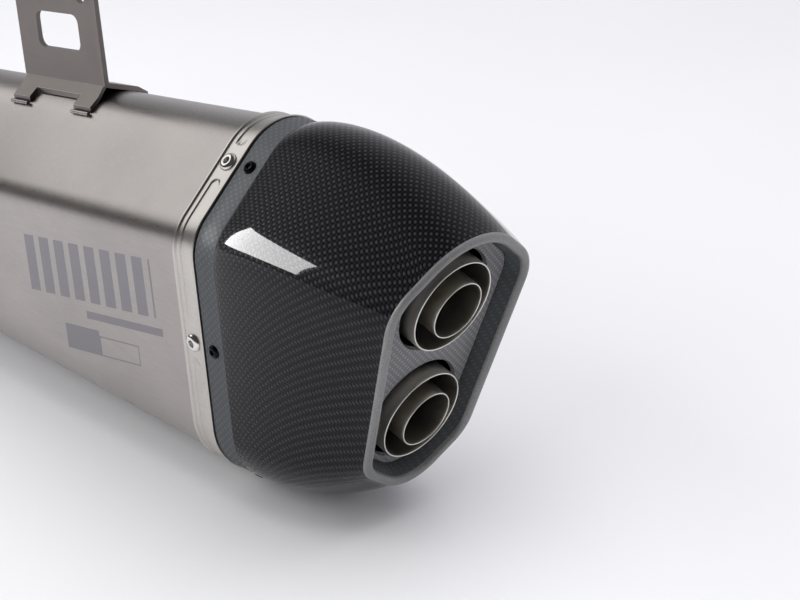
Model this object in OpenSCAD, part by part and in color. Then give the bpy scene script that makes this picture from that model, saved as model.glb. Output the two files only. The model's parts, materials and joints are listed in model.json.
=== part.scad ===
// Twin-outlet slip-on silencer: tapered six-sided sleeve, carbon end cap, absorption core.
// +X runs with the gas from the inlet to the outlets, +Z is up, Y = 0 is the middle plane.
// The origin is the centre of the inlet pipe's mouth.

/* [Sleeve] */
// Length of the sleeve
body_len = 300; // [240:1:380]
// Half width at the rear edge
rear_half_width = 59.5; // [49:0.5:72]
// Height of the ridge over the inlet axis at the rear edge
rear_top = 106; // [98:1:128]
// Depth of the keel under the inlet axis at the rear edge
rear_bottom = 84; // [78:1:102]
// Height of the shoulder arc's centre at the rear edge
rear_shoulder = 51; // [44:1:60]
// Half width at the front edge
front_half_width = 49; // [46:0.5:60]
// Height of the ridge over the inlet axis at the front edge
front_top = 71.5; // [66:0.5:86]
// Depth of the keel under the inlet axis at the front edge
front_bottom = 71.5; // [66:0.5:86]
// Height of the shoulder arc's centre at the front edge
front_shoulder = 16; // [10:1:22]
// Sheet thickness of the sleeve
sleeve_wall = 1.2; // [0.8:0.1:1.6]

/* [Corner arcs] */
// Radius of the ridge at the rear edge
ridge_r = 31; // [26:1:37]
// Radius of the shoulders at the rear edge
shoulder_r = 24; // [19:1:28]
// Radius of the lower corners at the rear edge
lower_r = 36; // [30:1:40]
// Radius of the keel at the rear edge
keel_r = 44; // [42:1:52]
// Radius of every arc at the front edge as a share of the one at the rear edge
front_arc_share = 0.88; // [0.8:0.01:0.95]

/* [Rim bands] */
// Width of each rim band
band_width = 16; // [13:0.5:20]
// Sheet thickness of the bands
band_wall = 1.2; // [1:0.1:1.5]
// Height of the lips over the band
lip_height = 0.8; // [0.6:0.1:1]
// Width of each lip
lip_width = 1.6; // [1.3:0.1:1.8]

/* [End cap] */
// Length of the cap's straight collar
collar_len = 14; // [12:0.5:17]
// Wall of the carbon shell
cap_wall = 2; // [1.6:0.1:2.4]
// How far the shell's crown swells over its collar before it tapers to the rim
crown_swell = 6.5; // [5:0.5:8]
// Distance from the sleeve's rear edge to the middle of the two outlets
tail_reach = 104; // [90:1:125]
// Height of the middle of the two outlets over the inlet axis
tail_height = 10; // [8:0.5:12]
// Lean of the outlet face, its top to the rear
face_tilt = 17.4; // [14.5:0.1:20]
// Half width of the rim
rim_half_width = 47.5; // [44:0.5:52]
// Height of the rim over its centre
rim_top = 75; // [73:0.5:80]
// Depth of the rim under its centre
rim_bottom = 74.5; // [73:0.5:80]
// Radius of the rolled rim
roll_r = 2.6; // [2.2:0.1:3]
// Depth of the recess from the rim's crest to the outlet plate
recess_depth = 10.5; // [9:0.5:12]
// Inward flare of the recess wall
recess_flare = 2.4; // [2:0.1:3]

/* [Outlets] */
// Outer diameter of the core and outlet tubes
tube_d = 50; // [42:0.5:54]
// Wall of the core and outlet tubes
tube_wall = 1.3; // [1:0.1:1.5]
// Distance between the two outlets' centres
outlet_pitch = 66.5; // [64:0.5:70]
// Distance from the rim's crest down to the outlet tips
tip_depth = 4; // [3:0.5:5]
// Outer diameter of the noise insert's tube
insert_d = 31; // [26:0.5:37]
// Wall of the noise insert
insert_wall = 1; // [0.8:0.1:1.2]
// Length by which the insert stands out of its outlet tube
insert_proud = 3.3; // [2.5:0.1:4]
// Distance between the core tubes at the front baffle
core_pitch = 61; // [59:0.5:65]

/* [Inlet] */
// Inner diameter of the inlet pipe
inlet_bore = 60.2; // [50:0.1:64]
// Wall of the inlet pipe
inlet_wall = 1.5; // [1.2:0.1:1.8]
// Length of the inlet pipe ahead of the front cap
inlet_len = 60; // [50:1:72]
// Length of the front cap ahead of the sleeve
front_cap_len = 60; // [50:1:72]

/* [Bracket] */
// Distance from the sleeve's rear edge to the bracket's rear edge
bracket_setback = 131; // [110:1:150]
// Length of the bracket
bracket_len = 72; // [60:1:86]
// Height of the bracket over the ridge
bracket_height = 62; // [55:1:74]
// Thickness of the bracket's web
bracket_wall = 3; // [2.5:0.1:3.5]
// Diameter of the bolt holes
bolt_hole_d = 8.5; // [6.5:0.1:10.2]

/* [Rivets] */
// Head diameter of the silver rivets
rivet_head_d = 9.6; // [8:0.2:10.4]
// Head diameter of the black cap rivets
cap_rivet_head_d = 7; // [6:0.2:8.4]
// Shank diameter of the rivets
rivet_shank_d = 4.8; // [4:0.1:5.2]

/* [Hidden] */
$fn = 64;

arc_steps = 8;            // straight steps in each corner arc of a section
seat_gap = 0.1;           // gap between nested fixed skins
run_gap = 0.08;           // radial gap of a running fit
over = 1;                 // how far a cutter runs past what it cuts

sleeve_x = inlet_len + front_cap_len;
rear_x = sleeve_x + body_len;

// ---- sections: arcs joined by straight sides, [y, z, r] from the ridge down the -Y side ----
front_ridge_r = ridge_r * front_arc_share;
front_shoulder_r = shoulder_r * front_arc_share;
front_lower_r = lower_r * front_arc_share;
front_keel_r = keel_r * front_arc_share;
// The sides lean in towards the keel, by this share of the half width at each end
rear_lean = 8;
front_lean = 3;
lower_lift = 8;           // how far the lower corner arcs stop short of the keel's depth

rear_section = [[0, rear_top - ridge_r, ridge_r],
                [shoulder_r - rear_half_width, rear_shoulder, shoulder_r],
                [lower_r + rear_lean - rear_half_width, lower_r + lower_lift - rear_bottom, lower_r],
                [0, keel_r - rear_bottom, keel_r]];
front_section = [[0, front_top - front_ridge_r, front_ridge_r],
                 [front_shoulder_r - front_half_width, front_shoulder, front_shoulder_r],
                 [front_lower_r + front_lean - front_half_width,
                  front_lower_r + lower_lift / 4 - front_bottom, front_lower_r],
                 [0, front_keel_r - front_bottom, front_keel_r]];

function mix(a, b, t) = a + (b - a) * t;
function mirror_y(c) = [-c[0], c[1], c[2]];
function whole(half) = [half[0], half[1], half[2], half[3], mirror_y(half[2]), mirror_y(half[1])];
// Outward normal, in degrees, of the straight side from arc a to arc b
function side_normal(a, b) =
    atan2(b[1] - a[1], b[0] - a[0]) - acos((a[2] - b[2]) / norm([b[0] - a[0], b[1] - a[1]]));
function sweep(from, to) = ((to - from) % 360 + 360) % 360;
// Outline of a section, grown by d, as [y, z] points that run anticlockwise seen from +X
function outline(half, d) =
    let (arcs = whole(half), n = len(arcs))
    [for (i = [0 : n - 1])
        let (start = side_normal(arcs[(i + n - 1) % n], arcs[i]),
             turn = sweep(start, side_normal(arcs[i], arcs[(i + 1) % n])))
        for (k = [0 : arc_steps])
            let (a = start + turn * k / arc_steps, r = arcs[i][2] + d)
            [arcs[i][0] + r * cos(a), arcs[i][1] + r * sin(a)]];

// The sleeve's section at x, straight on past both ends of the sleeve
function taper(x) = min(1, max(0, (x - sleeve_x) / body_len));
function section_at(x) = mix(front_section, rear_section, taper(x));
// A ring of 3-D points: a section grown by d, upright at x
function ring(x, d) = [for (p = outline(section_at(x), d)) [x, p[0], p[1]]];
// A ring on a plane that leans by tilt, with its centre at [x, z]
function leaning_ring(x, z, tilt, half, d) =
    [for (p = outline(half, d)) [x + p[1] * sin(tilt), p[0], z + p[1] * cos(tilt)]];

// Faces between ring a and ring b of n points each
function strip(a, b, n) =
    [for (i = [0 : n - 1]) let (j = (i + 1) % n)
        each [[a * n + i, b * n + i, b * n + j], [a * n + i, b * n + j, a * n + j]]];

// A solid skin through the rings, closed at both ends
module solid_skin(rings) {
    n = len(rings[0]);
    last = len(rings) - 1;
    polyhedron(points = [for (r = rings) each r],
               faces = concat([for (k = [0 : last - 1]) each strip(k, k + 1, n)],
                              [[for (i = [0 : n - 1]) i]],
                              [[for (i = [n - 1 : -1 : 0]) last * n + i]]));
}

// A hollow skin: the rings go along the outside and back along the inside
module hollow_skin(rings) {
    n = len(rings[0]);
    count = len(rings);
    polyhedron(points = [for (r = rings) each r],
               faces = [for (k = [0 : count - 1]) each strip(k, (k + 1) % count, n)]);
}

// Places along X that every skin on the sleeve shares, so that nested skins keep their gaps
flange_len = 8;
front_cap_end_x = sleeve_x + band_width + 4;
front_baffle_x = sleeve_x + 32;
mid_baffle_x = sleeve_x + body_len * 0.5;
bulkhead_x = rear_x - 26;
front_band_x = sleeve_x - 1;
rear_band_x = rear_x - band_width;
chamber_steps = 4;        // straight steps of the skins along each of the two chambers
function chamber(from, to) =
    [for (k = [0 : chamber_steps - 1]) mix(from, to, k / chamber_steps)];
stations = concat([sleeve_x, front_band_x + band_width, front_cap_end_x, front_baffle_x],
                  chamber(front_baffle_x + flange_len, mid_baffle_x), [mid_baffle_x],
                  chamber(mid_baffle_x + flange_len, bulkhead_x), [bulkhead_x, rear_band_x]);
function stations_between(a, b) = [a, each [for (x = stations) if (x > a + 1 && x < b - 1) x], b];
function backwards(list) = [for (i = [len(list) - 1 : -1 : 0]) list[i]];

// A sheet that follows the sleeve: profile is [[x, d], ...] round the sheet's own section
module sheet(profile) {
    hollow_skin([for (p = profile) ring(p[0], p[1])]);
}

// A pan that follows the sleeve: its plate is at the first x, its rim's outside comes first
module pan(profile) {
    solid_skin([for (p = profile) ring(p[0], p[1])]);
}

// ---- places on the section's straight sides: 0 upper facet, 1 side panel, 2 keel facet ----
function side_angle(x, side) =
    let (s = section_at(x)) side_normal(s[side], s[side + 1]);
function side_point(x, side, share) =
    let (s = section_at(x), a = side_angle(x, side),
         p = [s[side][0] + s[side][2] * cos(a), s[side][1] + s[side][2] * sin(a)],
         q = [s[side + 1][0] + s[side + 1][2] * cos(a), s[side + 1][1] + s[side + 1][2] * sin(a)])
    mix(p, q, share);

// Rise of the face along X, in degrees; it is 0 past the sleeve's ends
function side_lean(x, side) =
    let (a = side_angle(x, side),
         rise = side_point(x + 1, side, 0.5) - side_point(x - 1, side, 0.5))
    atan(rise * [cos(a), sin(a)] / 2);

// Stands the children square on the -Y side's face, +Z outwards, at height d over the sleeve
module on_side(x, side, share, d = 0) {
    p = side_point(x, side, share);
    translate([x, p[0], p[1]]) rotate([side_angle(x, side) - 90, 0, 0])
        rotate([0, -side_lean(x, side), 0]) translate([0, 0, d]) children();
}

module both_sides() {
    children();
    mirror([0, 1, 0]) children();
}

// [side, share along it] of each rivet on the -Y half
rivet_places = [[0, 0.25], [1, 0.5], [2, 0.5]];

module rivet_row(x, d) {
    both_sides()
        for (place = rivet_places)
            on_side(x, place[0], place[1], d) children();
}

// ---- skins: heights over the sleeve's outer face ----
front_cap_skin = -sleeve_wall - seat_gap;
sheet_metal = 1.2;        // wall of the baffles and the bulkhead
baffle_skin = -sleeve_wall - seat_gap;
collar_rise = seat_gap + band_wall;   // the cap's collar is flush with the band
collar_skin = collar_rise - cap_wall - seat_gap;
packing_skin = -sleeve_wall - 0.6;

// ---- places along X ----
front_rivet_x = front_band_x + band_width / 2;
rear_rivet_x = rear_band_x + band_width / 2;
cap_x = rear_x + 0.8;
cap_rivet_x = cap_x + 7;
bulkhead_end_x = cap_x + collar_len - 2;

// ---- the two gas paths, as [x, z] points in the middle plane ----
tube_r = tube_d / 2;
face_up = [sin(face_tilt), cos(face_tilt)];
face_out = [cos(face_tilt), -sin(face_tilt)];
tail_centre = [rear_x + tail_reach, tail_height];
kink_back = 72;           // length of the outlet tube's axis, from its tip to the mitred elbow
front_mid_height = (front_top - front_bottom) / 2 - 2;
function tip(s) = tail_centre + face_up * s * outlet_pitch / 2;
function kink(s) = tip(s) - face_out * kink_back;
function core_start(s) = [front_baffle_x, front_mid_height + s * core_pitch / 2];
function tilt_of(v) = atan2(v[0], v[1]);
function core_tilt(s) = tilt_of(kink(s) - core_start(s));
face_turn = 90 + face_tilt;
function mitre_tilt(s) = (core_tilt(s) + face_turn) / 2;

module at_xz(p, turn) {
    translate([p[0], 0, p[1]]) rotate([0, turn, 0]) children();
}

// A solid bar along the core's axis, from before behind its start to past its end
module core_bar(s, r, before, past) {
    at_xz(core_start(s), core_tilt(s))
        translate([0, 0, -before])
            cylinder(h = norm(kink(s) - core_start(s)) + before + past, r = r);
}

module both_core_bars(r, before = 60, past = 60) {
    for (s = [-1, 1]) core_bar(s, r, before, past);
}

// ---- sleeve ----
sleeve_hole_r = rivet_shank_d / 2 + seat_gap;

module rivet_drill() {
    translate([0, 0, -12]) cylinder(h = 24, r = sleeve_hole_r);
}

module outer_sleeve() color("#a8a29c") difference() {
    x_list = stations_between(sleeve_x, rear_x - 1);
    sheet(concat([for (x = x_list) [x, 0]], [for (x = backwards(x_list)) [x, -sleeve_wall]]));
    rivet_row(front_rivet_x, 0) rivet_drill();
    rivet_row(rear_rivet_x, 0) rivet_drill();
}

seam_width = 2.4;
seam_height = 0.7;

module seam_end(x) {
    mirror([0, 1, 0]) on_side(x, 1, 0.3, 0.12)
        linear_extrude(seam_height) square(seam_width, center = true);
}

module sleeve_seam() color("#8d8a86") hull() {
    seam_end(front_band_x + band_width + 3);
    seam_end(rear_band_x - 3);
}

// ---- rim bands and rivets ----
lip_slope = 0.5;

module rim_band(x) {
    top = seat_gap + band_wall;
    lip = top + lip_height;
    end = x + band_width;
    difference() {
        sheet([[x, seat_gap], [x, lip], [x + lip_width, lip], [x + lip_width + lip_slope, top],
               [end - lip_width - lip_slope, top], [end - lip_width, lip], [end, lip],
               [end, seat_gap]]);
        rivet_row(x + band_width / 2, 0) rivet_drill();
    }
}

module front_rim_band() color("#bebcb6") rim_band(front_band_x);

module rear_rim_band() color("#bebcb6") rim_band(rear_band_x);

// A hollow rivet, its head's seat at z = 0 and its stack of sheets below
module rivet(head_d, head_h, stack) {
    head_r = head_d / 2;
    shank_r = rivet_shank_d / 2;
    bore_r = shank_r * 0.72;
    tail_r = shank_r + 1;
    tail_h = 1;
    rotate_extrude()
        polygon([[bore_r, head_h * 0.85], [bore_r + 0.5, head_h], [head_r * 0.62, head_h * 0.92],
                 [head_r * 0.88, head_h * 0.6], [head_r, head_h * 0.2], [head_r, 0],
                 [shank_r, 0], [shank_r, -stack], [tail_r, -stack], [tail_r, -stack - tail_h],
                 [bore_r, -stack - tail_h]]);
}

head_gap = 0.1;           // gap under the rivets' heads
band_seat = seat_gap + band_wall + head_gap;
band_stack = band_seat + sleeve_wall + seat_gap + sheet_metal + seat_gap;
cap_rivet_seat = collar_rise + head_gap;
cap_stack = cap_rivet_seat - collar_rise + cap_wall + seat_gap + sheet_metal + seat_gap;
rivet_head_h = 1.9;
cap_rivet_head_h = 1.7;

module front_rivets() color("#c8c6c2")
    rivet_row(front_rivet_x, band_seat) rivet(rivet_head_d, rivet_head_h, band_stack + 0.3);

module rear_rivets() color("#c8c6c2")
    rivet_row(rear_rivet_x, band_seat) rivet(rivet_head_d, rivet_head_h, band_stack);

module cap_rivets() color("#1c1c1e")
    rivet_row(cap_rivet_x, cap_rivet_seat)
        rivet(cap_rivet_head_d, cap_rivet_head_h, cap_stack);

// ---- front cap and inlet ----
inlet_r = inlet_bore / 2 + inlet_wall;
neck_r = inlet_r + 4;
neck_push = 3;            // how far the neck's four arcs stand off the axis
front_cap_wall = 1.5;
front_cap_steps = 8;
neck_section = [[0, neck_push, neck_r - neck_push],
                [-neck_push * 0.8, neck_push * 0.3, neck_r - neck_push],
                [-neck_push * 0.8, -neck_push * 0.3, neck_r - neck_push],
                [0, -neck_push, neck_r - neck_push]];

// Slow at both ends, so that the cap leaves the sleeve and meets the neck without a crease
function ease(t) = t * t * (3 - 2 * t);
function front_cap_ring(t, d) =
    let (x = mix(inlet_len, sleeve_x, t), half = mix(neck_section, front_section, ease(t)))
    [for (p = outline(half, d)) [x, p[0], p[1]]];

module front_cap() color("#b3aea8") difference() {
    skin = front_cap_skin;
    inner = skin - front_cap_wall;
    collar = [for (x = stations_between(sleeve_x, front_cap_end_x)) if (x > sleeve_x) x];
    hollow_skin(concat(
        [[for (p = outline(neck_section, -neck_r * 0.3)) [inlet_len, p[0], p[1]]]],
        [for (k = [0 : front_cap_steps]) front_cap_ring(k / front_cap_steps, skin)],
        [for (x = collar) ring(x, skin)],
        [for (x = backwards(collar)) ring(x, inner)],
        [for (k = [front_cap_steps : -1 : 1]) front_cap_ring(k / front_cap_steps, inner)],
        [[for (p = outline(neck_section, inner)) [inlet_len + front_cap_wall, p[0], p[1]]]],
        [[for (p = outline(neck_section, -neck_r * 0.3)) [inlet_len + front_cap_wall, p[0], p[1]]]]));
    translate([inlet_len - over, 0, 0]) rotate([0, 90, 0])
        cylinder(h = front_cap_wall + 2 * over, r = inlet_r + seat_gap);
    rivet_row(front_rivet_x, 0) rivet_drill();
}

slot_len = 30;
slot_width = 3;
inlet_end_x = inlet_len + 22;

module inlet_pipe() color("#b0aca6") rotate([0, 90, 0]) difference() {
    cylinder(h = inlet_end_x, r = inlet_r);
    translate([0, 0, -over]) cylinder(h = inlet_end_x + 2 * over, r = inlet_bore / 2);
    for (turn = [45, 135])
        rotate([0, 0, turn]) {
            translate([-inlet_r - over, -slot_width / 2, -over])
                cube([2 * (inlet_r + over), slot_width, slot_len + over]);
            translate([-inlet_r - over, 0, slot_len]) rotate([0, 90, 0])
                cylinder(h = 2 * (inlet_r + over), r = slot_width / 2 + 0.5);
        }
}

bead_r = 1.4;

module inlet_weld() color("#8c8fa0")
    translate([inlet_len - bead_r - seat_gap, 0, 0]) rotate([0, 90, 0])
        rotate_extrude() translate([inlet_r + bead_r + seat_gap, 0]) circle(bead_r);

// ---- clamp: a T-bolt clamp whose bolt lies under the pipe, along Y ----
clamp_width = 20;
clamp_wall = 1;
clamp_x = 14;
clamp_in_r = inlet_r + run_gap;
clamp_out_r = clamp_in_r + clamp_wall;
clamp_gap = 14;
ear_wall = 1.5;
ear_height = 15;
bolt_r = 3;
bolt_drop = clamp_out_r + 7.5;
bolt_clear_r = bolt_r + 0.3;
bolt_head_r = 5.7;
bolt_head_h = 4;
trunnion_r = 6;
trunnion_len = 16;
washer_r = 6;
washer_h = 1.2;
nut_r = 5.77;
nut_h = 5;
nut_travel = 8;
ear_y = clamp_gap / 2 + ear_wall;
trunnion_y = ear_y + seat_gap;
washer_y = trunnion_y + trunnion_r + seat_gap;
nut_y = washer_y + washer_h + seat_gap;
bolt_end_y = nut_y + nut_h + nut_travel + 1;

// Turns the children's +Z to +Y, on the clamp bolt's axis at y
module on_bolt(y) {
    translate([clamp_x, y, -bolt_drop]) rotate([-90, 0, 0]) children();
}

module clamp_ear() {
    top = clamp_in_r * 0.97;
    translate([clamp_x - clamp_width / 2, clamp_gap / 2, -top - ear_height])
        cube([clamp_width, ear_wall, ear_height]);
}

module clamp_band() color("#b8b6b2") difference() {
    union() {
        translate([clamp_x - clamp_width / 2, 0, 0]) rotate([0, 90, 0])
            cylinder(h = clamp_width, r = clamp_out_r);
        both_sides() clamp_ear();
    }
    translate([clamp_x - clamp_width / 2 - over, 0, 0]) rotate([0, 90, 0])
        cylinder(h = clamp_width + 2 * over, r = clamp_in_r);
    translate([clamp_x - clamp_width, -clamp_gap / 2, -2 * clamp_out_r])
        cube([2 * clamp_width, clamp_gap, 2 * clamp_out_r]);
    on_bolt(-2 * clamp_gap) cylinder(h = 4 * clamp_gap, r = bolt_clear_r);
}

module clamp_bolt() color("#9a9896") union() {
    on_bolt(-ear_y - seat_gap - bolt_head_h) cylinder(h = bolt_head_h, r = bolt_head_r);
    on_bolt(-ear_y - seat_gap - over)
        cylinder(h = bolt_end_y + ear_y + seat_gap + over, r = bolt_r);
}

module clamp_trunnion() color("#a6a4a0") difference() {
    intersection() {
        translate([clamp_x - trunnion_len / 2, trunnion_y, -bolt_drop]) rotate([0, 90, 0])
            cylinder(h = trunnion_len, r = trunnion_r);
        translate([clamp_x - trunnion_len, trunnion_y, -bolt_drop - trunnion_len])
            cube(2 * trunnion_len);
    }
    on_bolt(trunnion_y - over) cylinder(h = trunnion_r + 2 * over, r = bolt_clear_r);
    translate([clamp_x - trunnion_len, washer_y - seat_gap - 0.8, -bolt_drop - trunnion_len])
        cube(2 * trunnion_len);
}

module clamp_washer() color("#c4c2be") on_bolt(washer_y) difference() {
    cylinder(h = washer_h, r = washer_r);
    translate([0, 0, -over]) cylinder(h = washer_h + 2 * over, r = bolt_r + run_gap);
}

module clamp_nut() color("#c4c2be") on_bolt(nut_y) difference() {
    cylinder(h = nut_h, r = nut_r, $fn = 6);
    translate([0, 0, -over]) cylinder(h = nut_h + 2 * over, r = bolt_r + run_gap);
}

// ---- baffles and bulkhead ----
tube_hole_r = tube_r + seat_gap;

module front_baffle() color("#9c9a96") difference() {
    inner = baffle_skin - sheet_metal;
    pan([[front_baffle_x, baffle_skin], [front_baffle_x + flange_len, baffle_skin],
         [front_baffle_x + flange_len, inner], [front_baffle_x + sheet_metal, inner]]);
    both_core_bars(tube_hole_r);
}

module mid_baffle() color("#9c9a96") difference() {
    inner = baffle_skin - sheet_metal;
    pan([[mid_baffle_x, baffle_skin], [mid_baffle_x + flange_len, baffle_skin],
         [mid_baffle_x + flange_len, inner], [mid_baffle_x + sheet_metal, inner]]);
    both_core_bars(tube_hole_r);
}

module rear_bulkhead() color("#9c9a96") difference() {
    joggle_x = rear_x - 1;
    inner = baffle_skin - sheet_metal;
    collar_inner = collar_skin - sheet_metal;
    pan([[bulkhead_x, baffle_skin], [rear_band_x, baffle_skin], [joggle_x, baffle_skin],
         [cap_x, collar_skin], [bulkhead_end_x, collar_skin], [bulkhead_end_x, collar_inner],
         [cap_x, collar_inner], [joggle_x, inner], [rear_band_x, inner],
         [bulkhead_x + sheet_metal, inner]]);
    both_core_bars(tube_hole_r);
    rivet_row(rear_rivet_x, 0) rivet_drill();
    rivet_row(cap_rivet_x, 0) rivet_drill();
}

// ---- core tubes ----
perf_d = 6;
perf_per_ring = 8;
perf_rows = 6;            // rings of holes in each of the two chambers
perf_margin = 16;
mitre_size = 3 * tube_d;
mitre_gap = 0.01;

// The half of space behind (side = -1) or before (side = 1) the elbow's mitre plane
module mitre_block(s, side) {
    at_xz(kink(s), mitre_tilt(s))
        translate([-mitre_size / 2, -mitre_size / 2,
                   side < 0 ? mitre_gap - mitre_size : -mitre_gap])
            cube(mitre_size);
}

// Distance along the core's axis from its start to the plane at x
function core_along(s, x) = (x - front_baffle_x) / sin(core_tilt(s));

module perforations(s, from_x, to_x) {
    from = core_along(s, from_x) + perf_margin;
    to = core_along(s, to_x) - perf_margin;
    at_xz(core_start(s), core_tilt(s))
        for (row = [0 : perf_rows - 1], k = [0 : perf_per_ring - 1])
            translate([0, 0, mix(from, to, row / (perf_rows - 1))])
                rotate([0, 0, 360 / perf_per_ring * (k + (row % 2) / 2)]) rotate([0, 90, 0])
                    translate([0, 0, tube_r - tube_wall - over])
                        cylinder(h = tube_wall + 2 * over, d = perf_d);
}

module core_tube(s) difference() {
    core_bar(s, tube_r, 3, tube_r / 2);
    core_bar(s, tube_r - tube_wall, 3 + over, tube_r);
    mitre_block(s, 1);
    perforations(s, front_baffle_x, mid_baffle_x);
    perforations(s, mid_baffle_x, bulkhead_x);
}

module upper_core_tube() color("#98948e") core_tube(1);

module lower_core_tube() color("#98948e") core_tube(-1);

wrap_thick = 3;
wrap_gap = 0.2;

// The space between two planes square to X
module slab(from_x, to_x) {
    translate([from_x, -rear_half_width * 2, -rear_top * 2])
        cube([to_x - from_x, rear_half_width * 4, rear_top * 4]);
}

module core_wrap(s) difference() {
    core_bar(s, tube_r + wrap_thick, 0, 0);
    core_bar(s, tube_r + wrap_gap, over, over);
    slab(front_baffle_x - 3 * tube_d, front_baffle_x + sheet_metal + wrap_gap);
    slab(mid_baffle_x - wrap_gap, mid_baffle_x + sheet_metal + wrap_gap);
    slab(bulkhead_x - wrap_gap, rear_x + 3 * tube_d);
}

module upper_core_wrap() color("#77736d") core_wrap(1);

module lower_core_wrap() color("#77736d") core_wrap(-1);

module packing(from_x, to_x) difference() {
    solid_skin([for (x = stations_between(from_x, to_x)) ring(x, packing_skin)]);
    both_core_bars(tube_r + wrap_thick + wrap_gap);
}

module front_packing() color("#e6dfc8")
    packing(front_baffle_x + flange_len + 1, mid_baffle_x - 1);

module rear_packing() color("#e6dfc8")
    packing(mid_baffle_x + flange_len + 1, bulkhead_x - 1);

// ---- outlet tubes and noise inserts, each in the frame of its tip, +Z out of the outlet ----
module at_tip(s) {
    at_xz(tip(s), face_turn) children();
}

module outlet_tube(s) difference() {
    at_tip(s) difference() {
        translate([0, 0, -kink_back - tube_r]) cylinder(h = kink_back + tube_r, r = tube_r);
        translate([0, 0, -kink_back - tube_r - over])
            cylinder(h = kink_back + tube_r + 2 * over, r = tube_r - tube_wall);
    }
    mitre_block(s, -1);
}

module upper_outlet_tube() color("#b8b0a2") outlet_tube(1);

module lower_outlet_tube() color("#b8b0a2") outlet_tube(-1);

module elbow_welds() color("#8c8fa0")
    for (s = [-1, 1])
        at_xz(kink(s), mitre_tilt(s))
            rotate_extrude() translate([tube_r * 1.03 + 1.2, 0]) circle(1.2);

skirt_r = tube_r - tube_wall - run_gap;
insert_r = insert_d / 2;
cone_start = -36;
cone_end = -46;
skirt_end = -54;

module noise_insert(s) at_tip(s) rotate_extrude()
    polygon([[insert_r - insert_wall, insert_proud], [insert_r, insert_proud],
             [insert_r, cone_start], [skirt_r, cone_end], [skirt_r, skirt_end],
             [skirt_r - insert_wall, skirt_end], [skirt_r - insert_wall, cone_end - 0.4],
             [insert_r - insert_wall, cone_start - 0.4]]);

module upper_insert() color("#b5ac98") noise_insert(1);

module lower_insert() color("#b5ac98") noise_insert(-1);

ring_wire_r = 1;
ring_wall_gap = 0.1;
ring_cone_gap = 0.6;

// The ring sits in the corner between the insert's cone and the outlet tube's wall
module snap_ring(s) {
    cone_rise = skirt_r - insert_r;
    cone_len = cone_start - cone_end;
    ahead = ((ring_wire_r + ring_cone_gap) * norm([cone_rise, cone_len])
             + (ring_wire_r + ring_wall_gap) * cone_len) / cone_rise;
    at_tip(s) translate([0, 0, cone_end + ahead]) rotate_extrude()
        translate([skirt_r - ring_wire_r - ring_wall_gap, 0]) circle(ring_wire_r);
}

module upper_snap_ring() color("#6e6c6a") snap_ring(1);

module lower_snap_ring() color("#6e6c6a") snap_ring(-1);

// ---- end cap ----
cap_steps = 12;
cap_bulge = 2.3;          // exponent of the cap's taper: higher keeps it full for longer
swell_onset = 0.7;        // exponent of the swell: lower starts it more steeply
side_share = 0.45;        // the shoulders' swell sideways, as a share of their swell upwards
roll_steps = 4;
rim_centre = tail_centre + face_out * tip_depth;
// Arcs of the rim, from the top down, and the heights of the two at its sides
rim_ridge_r = 45;
rim_shoulder_r = 24;
rim_lower_r = 22;
rim_keel_r = 30;
rim_shoulder = 38;
rim_lower = -43;
rim_lean = 10;            // how far the rim narrows from its shoulders to its lower corners
rim_section = [[0, rim_top - rim_ridge_r, rim_ridge_r],
               [rim_shoulder_r - rim_half_width, rim_shoulder, rim_shoulder_r],
               [rim_lower_r + rim_lean - rim_half_width, rim_lower, rim_lower_r],
               [0, rim_keel_r - rim_bottom, rim_keel_r]];
// The collar's section, with its heights counted from the outlets' middle
cap_section = [for (c = rear_section) [c[0], c[1] - tail_height, c[2] + collar_rise]];
// A section with its ridge and shoulders moved out by s
function swollen(half, s) =
    [[0, half[0][1] + s, half[0][2]], [half[1][0] - s * side_share, half[1][1] + s, half[1][2]],
     half[2], half[3]];

// A ring of the cap's outside: u is 0 at the collar's end and 1 at the rim
function cap_ring(u, d) =
    let (edge = rim_centre - face_out * roll_r,
         c = mix([cap_x + collar_len, tail_height], edge, u),
         half = swollen(mix(cap_section, rim_section, pow(u, cap_bulge)),
                        crown_swell * sin(180 * pow(u, swell_onset))))
    leaning_ring(c[0], c[1], face_tilt * u, half, d);
// The share of the way to the rim of each ring, closer together near the collar
function cap_place(k) = pow(k / cap_steps, 1.3);
// A ring on the outlet face: h is its height over the rim's crest, d its growth
function face_ring(h, d) =
    let (c = rim_centre + face_out * h) leaning_ring(c[0], c[1], face_tilt, rim_section, d);

recess_d = -2 * roll_r - recess_flare;
plate_wall = 2;
ledge_width = 2.4;
ledge_wall = 1.5;

module end_cap() color("#141416") difference() {
    hollow_skin(concat(
        [ring(cap_x, collar_rise)],
        [for (k = [0 : cap_steps]) cap_ring(cap_place(k), 0)],
        [for (k = [1 : roll_steps]) let (a = 180 * k / roll_steps)
            face_ring(roll_r * (sin(a) - 1), roll_r * (cos(a) - 1))],
        [face_ring(-recess_depth, recess_d),
         face_ring(-recess_depth - plate_wall - seat_gap, recess_d),
         face_ring(-recess_depth - plate_wall - seat_gap, recess_d - ledge_width),
         face_ring(-recess_depth - plate_wall - ledge_wall, recess_d - ledge_width),
         face_ring(-recess_depth - plate_wall - ledge_wall, recess_d + cap_wall * 0.8),
         face_ring(-roll_r - 3, -2 * roll_r + cap_wall * 0.6)],
        [for (k = [cap_steps - 1 : -1 : 0]) cap_ring(cap_place(k), -cap_wall)],
        [ring(cap_x, collar_rise - cap_wall)]));
    rivet_row(cap_rivet_x, 0) rivet_drill();
}

plate_hole_r = tube_r + 2.6;
plate_lip_r = plate_hole_r + 1.4;

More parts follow.
